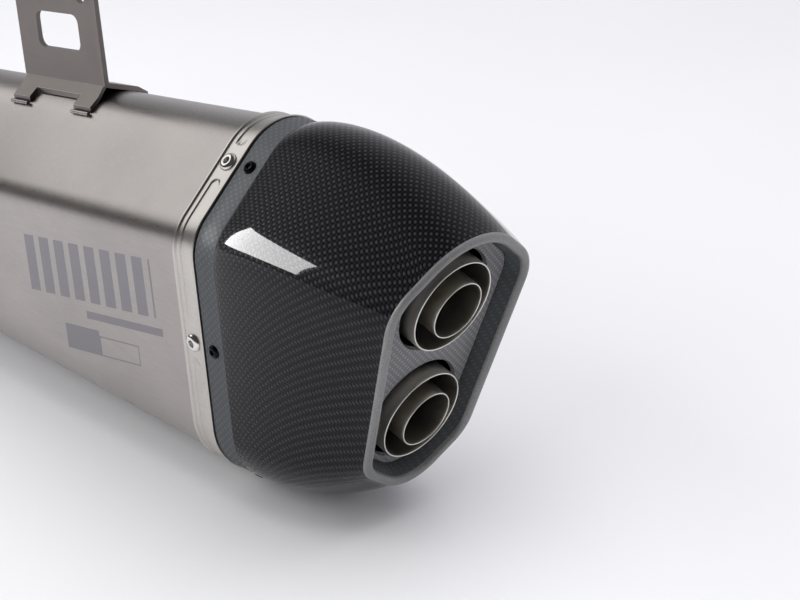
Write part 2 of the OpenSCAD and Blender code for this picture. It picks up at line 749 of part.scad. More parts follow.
module outlet_plate() color("#2a2a2c") difference() {
    c = rim_centre - face_out * (recess_depth + plate_wall);
    solid_skin([leaning_ring(c[0], c[1], face_tilt, rim_section, recess_d - seat_gap),
                face_ring(-recess_depth, recess_d - seat_gap)]);
    for (s = [-1, 1])
        at_tip(s) {
            translate([0, 0, -3 * recess_depth]) cylinder(h = 6 * recess_depth, r = plate_hole_r);
            translate([0, 0, tip_depth - recess_depth - plate_wall * 0.6])
                cylinder(h = plate_wall, r1 = plate_hole_r, r2 = plate_lip_r + 0.7);
        }
}

// ---- bracket: a web over the ridge, on two skirts with welded feet ----
bracket_x = rear_x - bracket_setback;
ridge_slope = atan((rear_top - front_top) / body_len);
web_y = -9;               // outer face of the web
fold_height = 5;
edge_r = 5;
window_margin = 17;
window_height = 20;
window_r = 5;
foot_len = 15;
skirt_wall = 2;
hole_drop = 9;            // bolt hole's centre under the web's top edge
hole_inset = 12;

// Bracket frame: origin on the ridge at the bracket's rear edge, +X along the ridge
module at_bracket() {
    ridge_z = section_at(bracket_x)[0][1] + section_at(bracket_x)[0][2];
    translate([bracket_x, 0, ridge_z]) rotate([0, -ridge_slope, 0]) children();
}

module rounded_plate(x0, z0, x1, z1, r) {
    translate([x0 + r, z0]) square([x1 - x0 - 2 * r, z1 - z0]);
    translate([x0, z0 + r]) square([x1 - x0, z1 - z0 - 2 * r]);
    for (x = [x0 + r, x1 - r], z = [z0 + r, z1 - r])
        translate([x, z]) circle(r);
}

module web() {
    translate([0, web_y + bracket_wall, 0]) rotate([90, 0, 0]) linear_extrude(bracket_wall)
        difference() {
            union() {
                rounded_plate(-bracket_len, fold_height, 0, bracket_height, edge_r);
                translate([-bracket_len, fold_height]) square([bracket_len, 2 * edge_r]);
            }
            rounded_plate(window_margin - bracket_len, fold_height + window_margin,
                          -window_margin, fold_height + window_margin + window_height, window_r);
        }
}

// Height of the sleeve's skin under the ridge at a distance y from the middle plane
function drop_at(y) =
    let (r = section_at(bracket_x)[0][2], a = side_angle(bracket_x, 0) - 90, edge = r * sin(a))
    abs(y) < edge ? r - sqrt(r * r - y * y) : r - r * cos(a) + (abs(y) - edge) * tan(a);

skirt_rise = skirt_wall * 1.4;  // upright thickness of the sloping sheets
foot_in = 13.5;           // distance from the middle plane at which a skirt meets the sleeve
foot_out = 19.5;          // distance at which a foot ends
foot_lift = 0.6;          // clears the ridge's arc between the two

function foot_at(y) = [y, foot_lift - drop_at(y)];
function foot_x(k) = -foot_len / 2 - 1 - k * (bracket_len - foot_len - 2);

// A folded sheet along X: its underside runs through the [y, z] points
module folded_sheet(x0, x1, under) {
    translate([x0, 0, 0]) rotate([90, 0, 90]) linear_extrude(x1 - x0)
        polygon(concat(under, [for (p = backwards(under)) [p[0], p[1] + skirt_rise]]));
}

root = [web_y + bracket_wall / 2, fold_height - 1];

module mounting_bracket() color("#6f6a68") at_bracket() difference() {
    union() {
        web();
        for (side = [-1, 1]) {
            folded_sheet(-bracket_len + 1, -1, [root, foot_at(side * foot_in)]);
            for (k = [0, 1])
                folded_sheet(foot_x(k) - foot_len / 2, foot_x(k) + foot_len / 2,
                             [root, foot_at(side * foot_in), foot_at(side * foot_out)]);
        }
    }
    for (x = [-hole_inset, hole_inset - bracket_len])
        translate([x, web_y - over, bracket_height - hole_drop]) rotate([-90, 0, 0])
            cylinder(h = bracket_wall + 2 * over, d = bolt_hole_d);
}

foot_weld_r = 1.1;

bead_gap = 0.45;

module bracket_welds() color("#9a93a0") at_bracket()
    for (k = [0, 1], side = [-1, 1]) {
        y = foot_out + foot_weld_r + 0.4;
        translate([foot_x(k) - foot_len / 2, side * y, foot_weld_r + bead_gap - drop_at(y)])
            rotate([0, 90, 0]) cylinder(h = foot_len, r = foot_weld_r);
    }

outer_sleeve();
sleeve_seam();
front_rim_band();
rear_rim_band();
front_rivets();
rear_rivets();
cap_rivets();
front_cap();
inlet_pipe();
inlet_weld();
clamp_band();
clamp_bolt();
clamp_trunnion();
clamp_washer();
clamp_nut();
front_baffle();
mid_baffle();
rear_bulkhead();
upper_core_tube();
lower_core_tube();
upper_core_wrap();
lower_core_wrap();
front_packing();
rear_packing();
elbow_welds();
upper_outlet_tube();
lower_outlet_tube();
upper_insert();
lower_insert();
upper_snap_ring();
lower_snap_ring();
end_cap();
outlet_plate();
mounting_bracket();
bracket_welds();
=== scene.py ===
import bpy
import bmesh
import json
from math import acos, atan2, cos, hypot, pi, radians, sin
from mathutils import Matrix, Vector, noise


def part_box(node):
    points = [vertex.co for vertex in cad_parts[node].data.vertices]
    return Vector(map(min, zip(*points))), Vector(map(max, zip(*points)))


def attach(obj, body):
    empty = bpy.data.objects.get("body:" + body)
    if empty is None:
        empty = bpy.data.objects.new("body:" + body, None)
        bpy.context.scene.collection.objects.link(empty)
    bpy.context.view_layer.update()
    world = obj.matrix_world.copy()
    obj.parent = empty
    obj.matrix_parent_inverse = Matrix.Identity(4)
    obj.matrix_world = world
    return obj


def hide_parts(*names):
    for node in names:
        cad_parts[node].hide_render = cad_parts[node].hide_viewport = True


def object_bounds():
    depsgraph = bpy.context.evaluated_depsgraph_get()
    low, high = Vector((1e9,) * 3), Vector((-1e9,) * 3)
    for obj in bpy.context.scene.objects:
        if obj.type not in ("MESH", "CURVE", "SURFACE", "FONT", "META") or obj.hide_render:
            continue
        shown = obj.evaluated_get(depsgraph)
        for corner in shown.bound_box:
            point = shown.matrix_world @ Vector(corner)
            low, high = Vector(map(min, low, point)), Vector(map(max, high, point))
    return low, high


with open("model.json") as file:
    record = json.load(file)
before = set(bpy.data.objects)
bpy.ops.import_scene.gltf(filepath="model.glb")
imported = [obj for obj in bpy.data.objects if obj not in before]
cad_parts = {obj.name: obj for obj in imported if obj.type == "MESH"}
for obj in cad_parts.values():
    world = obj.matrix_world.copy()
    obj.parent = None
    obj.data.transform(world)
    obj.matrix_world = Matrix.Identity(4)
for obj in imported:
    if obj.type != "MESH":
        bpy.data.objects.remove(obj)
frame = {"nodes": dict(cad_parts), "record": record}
cad_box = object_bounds()

# ======================================================================================
# Studio: a pale glossy table under soft light, and the camera.
# The silencer lies on a white table under two fills that only light, with one softbox
# towards its inlet, one beside the lens for the carbon alone, and a white wall behind, so
# its skins reflect bright and dark bands in turn.
# ======================================================================================
MM = 0.001
scene = bpy.context.scene
scene.view_settings.view_transform = "Standard"

sleeve_low, sleeve_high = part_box("outer_sleeve")
REAR_X = sleeve_high.x / MM + 1.0            # the sleeve's rear edge, in mm from the inlet's mouth
SLEEVE_X = sleeve_low.x / MM
TAIL_REACH, TAIL_HEIGHT = 104.0, 10.0        # middle of the two outlets, from the sleeve's edge
FACE_TILT = radians(17.4)                    # the outlet face leans its top to the rear
FACE_UP = Vector((sin(FACE_TILT), 0, cos(FACE_TILT)))
FACE_OUT = Vector((cos(FACE_TILT), 0, -sin(FACE_TILT)))
TAIL = Vector((REAR_X + TAIL_REACH, 0, TAIL_HEIGHT))


def linear(code):
    """An sRGB hex colour as linear RGBA."""
    parts = [int(code[i:i + 2], 16) / 255 for i in (1, 3, 5)]
    return [p / 12.92 if p <= 0.04045 else ((p + 0.055) / 1.055) ** 2.4 for p in parts] + [1.0]


def add(tree, kind, inputs=None, **settings):
    """Adds a node with its settings; each input is a value, or a socket to link from."""
    node = tree.nodes.new(kind)
    for name, value in settings.items():
        setattr(node, name, value)
    for name, value in (inputs or {}).items():
        if isinstance(value, bpy.types.NodeSocket):
            tree.links.new(value, node.inputs[name])
        else:
            node.inputs[name].default_value = value
    return node


def material(name, sockets):
    """A material with one Principled shader; returns it with its node tree and its shader."""
    made = bpy.data.materials.new(name)
    made.use_nodes = True
    shader = made.node_tree.nodes["Principled BSDF"]
    for socket, value in sockets.items():
        shader.inputs[socket].default_value = value
    return made, made.node_tree, shader


# White laminate: satin, with a tint so faint that it only keeps the white from looking flat.
table, tree, shader = material("white_table", {"Roughness": 0.55})
where = add(tree, "ShaderNodeTexCoord")
cloudy = add(tree, "ShaderNodeTexNoise", {"Vector": where.outputs["Object"], "Scale": 3.0})
tint = add(tree, "ShaderNodeMix", {"Factor": cloudy.outputs["Fac"], "A": linear("#f6f6f8"),
                                   "B": linear("#efeff3")}, data_type="RGBA")
tree.links.new(tint.outputs["Result"], shader.inputs["Base Color"])
bpy.ops.mesh.primitive_plane_add(size=6.0, location=(0.3, 0.4, cad_box[0][2] - 0.0005))
floor = bpy.context.active_object
floor.name = "table_top"
floor.data.materials.append(table)

LENS, SENSOR = 90.0, 36.0
AZIMUTH, ELEVATION, DISTANCE = radians(44.62), radians(23.69), 0.91175
look_at = (TAIL + Vector((2.4, -27.6, 41.7))) * MM            # a point beside the two outlets
back = Vector((sin(AZIMUTH) * cos(ELEVATION), -cos(AZIMUTH) * cos(ELEVATION), sin(ELEVATION)))
camera = bpy.data.objects.new("camera", bpy.data.cameras.new("camera"))
scene.collection.objects.link(camera)
camera.data.lens = LENS
camera.data.sensor_width = SENSOR
camera.location = look_at + back * DISTANCE
camera.rotation_euler = (-back).to_track_quat("-Z", "Y").to_euler()
scene.camera = camera


def softbox(name, towards, reach, width, height, watts, seen=True, fills=True):
    """An area light that shines on the silencer from a direction. One that isn't seen has no
    reflection, and one that doesn't fill has nothing else."""
    light = bpy.data.lights.new(name, "AREA")
    light.shape = "RECTANGLE"
    light.size, light.size_y, light.energy = width, height, watts
    holder = bpy.data.objects.new(name, light)
    scene.collection.objects.link(holder)
    direction = Vector(towards).normalized()
    holder.location = Vector((REAR_X * MM, 0, 0)) + direction * reach
    holder.rotation_euler = direction.to_track_quat("Z", "Y").to_euler()
    holder.visible_glossy = seen
    holder.visible_diffuse = fills
    return holder


softbox("overhead_fill", towards=(0.1, 0.1, 1.0), reach=2.4, width=3.0, height=3.0, watts=52.0,
        seen=False)
softbox("table_fill", towards=(-0.25, -0.85, 0.50), reach=2.6, width=3.0, height=2.0, watts=46.0,
        seen=False)
inlet_box = softbox("inlet_softbox", towards=(-0.82, -0.26, 0.55), reach=2.0, width=1.5, height=1.1,
                    watts=7.4)
side_box = softbox("side_softbox", towards=(-0.626, -0.671, 0.397), reach=1.5, width=1.36,
                   height=0.85, watts=125.0, fills=False)

# The room: dark on the lens's side, a white wall on the far side, and pale behind the part.
world = bpy.data.worlds.new("studio")
scene.world = world
world.use_nodes = True
tree = world.node_tree
sky = add(tree, "ShaderNodeTexCoord")
split = add(tree, "ShaderNodeSeparateXYZ", {"Vector": sky.outputs["Generated"]})
wall = add(tree, "ShaderNodeMapRange", {"Value": split.outputs["Y"], "From Min": 0.1,
                                        "From Max": 0.7})
room = add(tree, "ShaderNodeMix", {"Factor": wall.outputs["Result"], "A": linear("#4c4b4a"),
                                   "B": linear("#f4f4fa")}, data_type="RGBA")
ray = add(tree, "ShaderNodeLightPath")
seen = add(tree, "ShaderNodeMix", {"Factor": ray.outputs["Is Camera Ray"],
                                   "A": room.outputs["Result"], "B": linear("#f4f4fa")},
           data_type="RGBA")
tree.links.new(seen.outputs["Result"], tree.nodes["Background"].inputs["Color"])
tree.nodes["Background"].inputs["Strength"].default_value = 0.9

# ======================================================================================
# Outer sleeve: 1.2 mm titanium sheet, folded to six sides that taper to the inlet, and
# seam welded. Its satin face has a fine grain along the sleeve, and plain marks are etched
# on its -Y side panel.
# ======================================================================================
RIDGE, SHOULDER, LOWER, KEEL = 31.0, 24.0, 36.0, 44.0        # arc radii at the rear, in mm
FRONT_SHARE = 0.88                                           # of them at the front
SLEEVE_WALL = 1.2
REAR_SECTION = [(0, 106 - RIDGE, RIDGE), (SHOULDER - 59.5, 51, SHOULDER),
                (LOWER + 8 - 59.5, LOWER + 8 - 84, LOWER), (0, KEEL - 84, KEEL)]
FRONT_SECTION = [(0, 71.5 - RIDGE * FRONT_SHARE, RIDGE * FRONT_SHARE),
                 (SHOULDER * FRONT_SHARE - 49, 16, SHOULDER * FRONT_SHARE),
                 (LOWER * FRONT_SHARE + 3 - 49, LOWER * FRONT_SHARE + 2 - 71.5, LOWER * FRONT_SHARE),
                 (0, KEEL * FRONT_SHARE - 71.5, KEEL * FRONT_SHARE)]


def mix(a, b, t):
    """Between two numbers, or two sections of [y, z, r] arcs."""
    if isinstance(a, (list, tuple)):
        return [mix(p, q, t) for p, q in zip(a, b)]
    return a + (b - a) * t


def side_normal(a, b):
    """Outward angle of the straight side from arc a to arc b."""
    return atan2(b[1] - a[1], b[0] - a[0]) - acos((a[2] - b[2]) / hypot(b[0] - a[0], b[1] - a[1]))


def outline(half, grow=0.0, arc=16, flat=6):
    """The section's [y, z] points, grown outwards, anticlockwise from the keel's middle."""
    loop = list(half) + [(-c[0], c[1], c[2]) for c in (half[2], half[1])]
    normals = [side_normal(a, b) for a, b in zip(loop, loop[1:] + loop[:1])]
    points = []
    for i, (y, z, r) in enumerate(loop):
        start = normals[i - 1]
        turn = (normals[i] - start) % (2 * pi)
        for k in range(arc + 1):
            a = start + turn * k / arc
            points.append((y + (r + grow) * cos(a), z + (r + grow) * sin(a)))
        y2, z2, r2 = loop[(i + 1) % len(loop)]
        end = (y2 + (r2 + grow) * cos(normals[i]), z2 + (r2 + grow) * sin(normals[i]))
        points += [tuple(mix(points[-1], end, k / flat)) for k in range(1, flat)]
    keel = 3 * (arc + flat) + arc // 2
    return points[keel:] + points[:keel]


def section_at(x):
    """The sleeve's section at x, straight on past both its ends."""
    return mix(FRONT_SECTION, REAR_SECTION, min(1, max(0, (x - SLEEVE_X) / (REAR_X - SLEEVE_X))))


def ring(x, grow=0.0, arc=16, flat=6):
    return [Vector((x, y, z)) for y, z in outline(section_at(x), grow, arc, flat)]


def loft(rings, weld=True):
    """A skin through rings of equal point counts, in mm. Each ring is extruded on to the next.
    Its UV map is in mm: across from the ridge, and along from the first ring."""
    bm = bmesh.new()
    place = bm.verts.layers.int.new("place")
    row = bm.verts.layers.int.new("row")
    count = len(rings[0])
    bmesh.ops.create_circle(bm, radius=1.0, segments=count)
    bm.verts.ensure_lookup_table()
    for i, vert in enumerate(bm.verts):
        vert[place] = i
        vert.co = rings[0][i] * MM
    edges = list(bm.edges)
    for k, points in enumerate(rings[1:], 1):
        made = bmesh.ops.extrude_edge_only(bm, edges=edges)["geom"]
        verts = {g for g in made if isinstance(g, bmesh.types.BMVert)}
        for vert in verts:
            vert.co = points[vert[place]] * MM
            vert[row] = k
        edges = [g for g in made if isinstance(g, bmesh.types.BMEdge)
                 and g.verts[0] in verts and g.verts[1] in verts]
    across = []
    for points in rings:
        run = [0.0]
        for a, b in zip(points, points[1:] + points[:1]):
            run.append(run[-1] + (b - a).length)
        across.append([r - run[count // 2] for r in run])
    along = [[0.0] * (count + 1)]
    for a, b in zip(rings, rings[1:]):
        step = [(q - p).length for p, q in zip(a, b)]
        along.append([s + t for s, t in zip(along[-1], step + step[:1])])
    uv = bm.loops.layers.uv.new("skin")
    for face in bm.faces:
        last = any(v[place] == count - 1 for v in face.verts)
        for corner in face.loops:
            i, k = corner.vert[place], corner.vert[row]
            i = count if last and i == 0 else i
            corner[uv].uv = (across[k][i], along[k][i])
    if weld:
        bmesh.ops.remove_doubles(bm, verts=bm.verts, dist=1e-6)
    bmesh.ops.recalc_face_normals(bm, faces=bm.faces)
    return bm


def piece(bm, name, body, materials, stands_for=(), sharp=38):
    """Makes the mesh an object that rides on its body; edges over the sharp angle stay crisp."""
    mesh = bpy.data.meshes.new(name)
    bm.to_mesh(mesh)
    bm.free()
    mesh.shade_smooth()
    mesh.set_sharp_from_angle(angle=radians(sharp))
    for m in materials:
        mesh.materials.append(m)
    made = bpy.data.objects.new(name, mesh)
    scene.collection.objects.link(made)
    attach(made, body)
    for node in stands_for:
        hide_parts(node)
    return made


PATCH = 16.0                                 # patches of the mottle in a metre


def grained_metal(name, colour, rough, grain, streak=(0.02, 3.0, 3.0), bump=0.024, mottle=0.10):
    """Worked metal, as wide bands of shade over a fine grain. streak is the grain's lines in a
    mm along X, Y and Z, bump its depth in mm, and mottle how far its shade wanders."""
    made, tree, shader = material(name, {"Metallic": 1.0})
    where = add(tree, "ShaderNodeTexCoord")
    scale = add(tree, "ShaderNodeMapping", {"Vector": where.outputs["Object"],
                                            "Scale": [s / MM for s in streak]})
    lines = add(tree, "ShaderNodeTexNoise", {"Vector": scale.outputs["Vector"], "Scale": 1.0,
                                             "Detail": 3.0})
    patches = add(tree, "ShaderNodeTexNoise", {"Vector": where.outputs["Object"], "Scale": PATCH,
                                               "Detail": 4.0})
    dark = [c * (1 - mottle) for c in linear(colour)[:3]] + [1.0]
    light = [min(1.0, c * (1 + mottle)) for c in linear(colour)[:3]] + [1.0]
    blend = add(tree, "ShaderNodeMath", {0: lines.outputs["Fac"], 1: patches.outputs["Fac"]},
                operation="MULTIPLY")
    spread = add(tree, "ShaderNodeMapRange", {"Value": blend.outputs["Value"], "From Min": 0.12,
                                              "From Max": 0.4})
    shade = add(tree, "ShaderNodeMix", {"Factor": spread.outputs["Result"], "A": dark, "B": light},
                data_type="RGBA", name="shade")
    finish = add(tree, "ShaderNodeMapRange", {"Value": lines.outputs["Fac"], "From Min": 0.3,
                                              "From Max": 0.7, "To Min": rough - grain,
                                              "To Max": rough + grain})
    relief = add(tree, "ShaderNodeBump", {"Height": lines.outputs["Fac"], "Distance": bump * MM,
                                          "Strength": 0.25})
    tree.links.new(shade.outputs["Result"], shader.inputs["Base Color"])
    tree.links.new(finish.outputs["Result"], shader.inputs["Roughness"])
    tree.links.new(relief.outputs["Normal"], shader.inputs["Normal"])
    return made


def within(tree, value, low, high):
    """1 where the value lies between low and high, and 0 elsewhere."""
    return add(tree, "ShaderNodeMath", {0: value, 1: (low + high) / 2, 2: (high - low) / 2},
               operation="COMPARE").outputs["Value"]


def etched(made, depth):
    """Darkens and roughens the marks etched on the -Y side panel: a row of bars, a line, a
    block and an outlined box, all on a slope."""
    tree = made.node_tree
    shader, shade = tree.nodes["Principled BSDF"], tree.nodes["shade"]
    where = add(tree, "ShaderNodeTexCoord")
    place = add(tree, "ShaderNodeSeparateXYZ", {"Vector": where.outputs["Object"]})
    x = add(tree, "ShaderNodeMath", {0: place.outputs["X"], 1: 1 / MM},
            operation="MULTIPLY").outputs["Value"]
    fall = add(tree, "ShaderNodeMath", {0: x, 1: -ETCH_SLOPE, 2: ETCH_SLOPE * ETCH_END},
               operation="MULTIPLY_ADD").outputs["Value"]
    z = add(tree, "ShaderNodeMath", {0: place.outputs["Z"], 1: 1 / MM, 2: fall},
            operation="MULTIPLY_ADD").outputs["Value"]
    along = add(tree, "ShaderNodeMath", {0: x, 1: 1 / BAR_PITCH},
                operation="MULTIPLY").outputs["Value"]
    beat = add(tree, "ShaderNodeMath", {0: along}, operation="FRACT").outputs["Value"]
    near_side = within(tree, place.outputs["Y"], -1, 0)
    total = None
    for x0, x1, z0, z1, kind in ETCH_MARKS:
        mark = add(tree, "ShaderNodeMath", {0: within(tree, x, x0, x1), 1: within(tree, z, z0, z1)},
                   operation="MULTIPLY").outputs["Value"]
        if kind == "bars":
            mark = add(tree, "ShaderNodeMath", {0: mark, 1: within(tree, beat, 0.1, 0.75)},
                       operation="MULTIPLY").outputs["Value"]
        if kind == "outline":
            line_x = within(tree, x, x0 + ETCH_LINE, x1 - ETCH_LINE)
            line_z = within(tree, z, z0 + ETCH_LINE, z1 - ETCH_LINE)
            hollow = add(tree, "ShaderNodeMath", {0: line_x, 1: line_z},
                         operation="MULTIPLY").outputs["Value"]
            mark = add(tree, "ShaderNodeMath", {0: mark, 1: hollow},
                       operation="SUBTRACT").outputs["Value"]
        total = mark if total is None else add(tree, "ShaderNodeMath", {0: total, 1: mark},
                                               operation="MAXIMUM").outputs["Value"]
    total = add(tree, "ShaderNodeMath", {0: total, 1: near_side},
                operation="MULTIPLY").outputs["Value"]
    bitten = add(tree, "ShaderNodeMix", {"Factor": total, "A": shade.outputs["Result"],
                                         "B": linear(depth)}, data_type="RGBA")
    tree.links.new(bitten.outputs["Result"], shader.inputs["Base Color"])
    finish = shader.inputs["Roughness"].links[0].from_socket
    dull = add(tree, "ShaderNodeMath", {0: total, 1: 0.08, 2: finish}, operation="MULTIPLY_ADD")
    tree.links.new(dull.outputs["Value"], shader.inputs["Roughness"])


ETCH_SLOPE, ETCH_END, ETCH_LINE, BAR_PITCH = 0.17, 380.0, 0.8, 14.0
ETCH_MARKS = [(267, 381, 5, 38, "bars"), (318, 385, -5, -0.5, "line"),       # x, x, z, z in mm
              (296, 327, -26, -11, "block"), (327, 362, -26, -14, "outline")]
# Titanium sheet, satin rolled: a warm grey with soft streaks along it. Etching bites it
# duller and a little bluer.
TITANIUM, ETCHED = "#a7a29f", "#8b888d"
titanium = grained_metal("satin_titanium", TITANIUM, 0.32, 0.05)
marked = grained_metal("etched_titanium", TITANIUM, 0.32, 0.05)
etched(marked, ETCHED)

STEPS = 14
xs = [mix(SLEEVE_X, REAR_X - 1, k / STEPS) for k in range(STEPS + 1)]
skin = loft([ring(x) for x in xs] + [ring(x, -SLEEVE_WALL) for x in reversed(xs)] + [ring(xs[0])])
piece(skin, "titanium_sleeve", "silencer", [marked], ["outer_sleeve"])

# ======================================================================================
# Rim bands: 1.2 mm stainless trim, rolled with a lip at each edge and pressed with long
# round-ended grooves between the rivets. They cover the sleeve's two cut edges.
# ======================================================================================
BAND_WIDTH, BAND_WALL, SEAT = 16.0, 1.2, 0.1
LIP_HEIGHT, LIP_WIDTH = 0.8, 1.6
GROOVE_RADIUS, GROOVE_DEPTH, GROOVE_STAND_OFF = 3.3, 0.6, 10.0
RIVET_PLACES = [(0, 0.25), (1, 0.5), (2, 0.5)]     # side of the section, share along it
# Stainless strip, polished and handled: neutral and bright, with soft reflections.
stainless = grained_metal("polished_stainless", "#c3bfba", 0.33, 0.05)


def side_place(x, side, share):
    """A point [y, z] on one of the section's straight sides, and the side's outward angle."""
    arcs = section_at(x)
    a = side_normal(arcs[side], arcs[side + 1])
    ends = [(c[0] + c[2] * cos(a), c[1] + c[2] * sin(a)) for c in arcs[side:side + 2]]
    y, z = mix(ends[0], ends[1], share)
    return y, z, a


def groove(x, run, length, mid_x, stops):
    """Depth of the pressed grooves at x, and at a distance run round the band."""
    for a, b in zip(stops, stops[1:] + [stops[0] + length]):
        for turn in (0, length):
            start, end = a + GROOVE_STAND_OFF + GROOVE_RADIUS, b - GROOVE_STAND_OFF - GROOVE_RADIUS
            past = max(start - run - turn, 0, run + turn - end)
            gap = hypot(past, x - mid_x) - GROOVE_RADIUS
            if gap < 0:
                return GROOVE_DEPTH * min(1, -gap / 0.5)
    return 0.0


def rim_band(name, x0, node):
    top = SEAT + BAND_WALL
    lip = top + LIP_HEIGHT
    x1, mid_x = x0 + BAND_WIDTH, x0 + BAND_WIDTH / 2
    edge = [(x0, SEAT), (x0, lip - 0.4), (x0 + 0.4, lip), (x0 + LIP_WIDTH - 0.3, lip),
            (x0 + LIP_WIDTH + 0.1, lip - 0.25), (x0 + LIP_WIDTH + 0.5, top)]
    flat = [(mid_x + u * GROOVE_RADIUS, top) for u in
            (-1.1, -1.0, -0.92, -0.84, -0.7, -0.5, -0.25, 0, 0.25, 0.5, 0.7, 0.84, 0.92, 1.0, 1.1)]
    profile = edge + flat + [(x0 + x1 - x, d) for x, d in reversed(edge)] + [edge[0]]
    base = ring(mid_x, top, 24, 60)
    run = [0.0]
    for a, b in zip(base, base[1:] + base[:1]):
        run.append(run[-1] + (b - a).length)
    stops = []
    for side, share in RIVET_PLACES:
        y, z, a = side_place(mid_x, side, share)
        for sign in (-1, 1):
            spot = Vector((mid_x, -sign * y, z))
            stops.append(run[min(range(len(base)), key=lambda i: (base[i] - spot).length)])
    stops.sort()
    rings = []
    for x, d in profile:
        points = outline(section_at(x), d, 24, 60)
        if d == top:
            depths = [groove(x, run[i], run[-1], mid_x, stops) for i in range(len(points))]
            inner = outline(section_at(x), d - GROOVE_DEPTH, 24, 60)
            points = [mix(p, q, t / GROOVE_DEPTH) for p, q, t in zip(points, inner, depths)]
        rings.append([Vector((x, y, z)) for y, z in points])
    return piece(loft(rings), name, "silencer", [stainless], [node], sharp=30)


rim_band("front_trim_band", SLEEVE_X - 1, "front_rim_band")
rim_band("rear_trim_band", REAR_X - BAND_WIDTH, "rear_rim_band")

# ======================================================================================
# Rivets: hollow domed 4.8 mm blind rivets. Bright stainless ones hold the bands, and
# black anodised ones hold the carbon cap's collar. Each is set square to its side.
# ======================================================================================
COLLAR_GAP, COLLAR_RIVETS_IN, HEAD_GAP = 0.8, 7.0, 0.1
BAND_RIVET = dict(head=4.8, height=1.9, bore=1.75, stack=4.0)          # radii and heights in mm
COLLAR_RIVET = dict(head=3.5, height=1.6, bore=1.2, stack=3.4)
EVEN = (1.0, 1.0, 1.0)                                                 # grain with no direction
# Drawn stainless, nearly a mirror, and black anodised aluminium, dark with a soft sheen.
bright = grained_metal("bright_rivet_steel", "#dad8d4", 0.16, 0.04, streak=EVEN, mottle=0.15)
black_alloy = grained_metal("black_anodised_alloy", "#1b1b1d", 0.32, 0.05, streak=EVEN, mottle=0.2)


def revolve(profile, steps=40):
    """Spins a closed outline of [radius, height] points, in mm, round +Z."""
    bm = bmesh.new()
    verts = [bm.verts.new((r * MM, 0, z * MM)) for r, z in profile]
    edges = [bm.edges.new(pair) for pair in zip(verts, verts[1:] + verts[:1])]
    bmesh.ops.spin(bm, geom=verts + edges, axis=(0, 0, 1), cent=(0, 0, 0), angle=2 * pi,
                   steps=steps, use_merge=True)
    bmesh.ops.recalc_face_normals(bm, faces=bm.faces)
    return bm


def repeat(bm, places):
    """Copies the shape to each place, and takes the first one away."""
    first = bm.verts[:] + bm.edges[:] + bm.faces[:]
    old = bm.verts[:]
    for matrix in places:
        made = bmesh.ops.duplicate(bm, geom=first)["geom"]
        verts = [g for g in made if isinstance(g, bmesh.types.BMVert)]
        bmesh.ops.transform(bm, matrix=matrix, verts=verts)
    bmesh.ops.delete(bm, geom=old, context="VERTS")
    return bm


def rivet_frames(x, seat):
    """Where each rivet stands at x: its foot on the skin, its +Z square to the skin."""
    frames = []
    for side, share in RIVET_PLACES:
        y, z, a = side_place(x, side, share)
        before, after = side_place(x - 1, side, 0.5), side_place(x + 1, side, 0.5)
        rise = ((after[0] - before[0]) * cos(a) + (after[1] - before[1]) * sin(a)) / 2
        for sign in (1, -1):
            turn = Matrix.Rotation(sign * (a - pi / 2), 4, "X")
            lean = Matrix.Rotation(-atan2(rise, 1), 4, "Y")
            frames.append(Matrix.Translation(Vector((x, sign * y, z)) * MM) @ turn @ lean
                          @ Matrix.Translation((0, 0, seat * MM)))
    return frames


def rivet(head, height, bore, stack):
    """A domed head with a rolled mouth, over a hollow shank."""
    dome = [(bore, -stack), (bore, height * 0.55), (bore + 0.25, height * 0.9)]
    for k in range(9):
        a = radians(12 + 78 * k / 8)
        dome.append((bore + 0.3 + (head - bore - 0.3) * sin(a), height * cos(a)))
    return revolve(dome + [(head, -0.02), (head * 0.5, -0.02), (head * 0.5, -stack)])


for name, x, node in (("front_band_rivets", SLEEVE_X - 1 + BAND_WIDTH / 2, "front_rivets"),
                      ("rear_band_rivets", REAR_X - BAND_WIDTH / 2, "rear_rivets")):
    places = rivet_frames(x, SEAT + BAND_WALL + HEAD_GAP)
    piece(repeat(rivet(**BAND_RIVET), places), name, "silencer", [bright], [node])
places = rivet_frames(REAR_X + COLLAR_GAP + COLLAR_RIVETS_IN, SEAT + BAND_WALL + HEAD_GAP)
piece(repeat(rivet(**COLLAR_RIVET), places), "collar_rivets", "silencer",
      [black_alloy], ["cap_rivets"])

# ======================================================================================
# Carbon end cap: plain-weave carbon cloth moulded in one shell under gloss lacquer. Its
# collar is straight, its body swells and tapers to a slanted rim, and the rim is rolled
# thick and rubbed to a satin. Inside the rim the wall flares down to the outlet plate.
# ======================================================================================
COLLAR, CAP_WALL, ROLL, TIP_DEPTH = 14.0, 2.0, 2.6, 4.0
RECESS_DEPTH, RECESS_FLARE, PLATE_WALL = 10.5, 2.4, 2.0
BULGE, CROWN_SWELL, SIDE_SHARE, ONSET = 2.3, 6.5, 0.45, 0.7
COLLAR_RISE = SEAT + BAND_WALL                 # the collar is flush with the rear band
TOW = 1.95                                      # width of one tow of the weave, in mm
RIM_SECTION = [(0, 75 - 45, 45), (24 - 47.5, 38, 24), (22 + 10 - 47.5, -43, 22), (0, 30 - 74.5, 30)]
CAP_SECTION = [(y, z - TAIL_HEIGHT, r + COLLAR_RISE) for y, z, r in REAR_SECTION]
RIM = TAIL + FACE_OUT * TIP_DEPTH
CAP_X = REAR_X + COLLAR_GAP
COLLAR_ROUND, CAP_ROWS, INNER_ROWS, ROW_SPREAD, ROLL_ROWS = 0.3, 30, 12, 1.3, 10
LEDGE, LEDGE_WALL, LEDGE_BACK, NECK, NECK_OUT = 2.4, 1.5, 1.6, 3.0, 1.2   # behind the recess


def leaning_ring(centre, tilt, half, grow):
    return [Vector((centre.x + z * sin(tilt), y, centre.z + z * cos(tilt)))
            for y, z in outline(half, grow)]


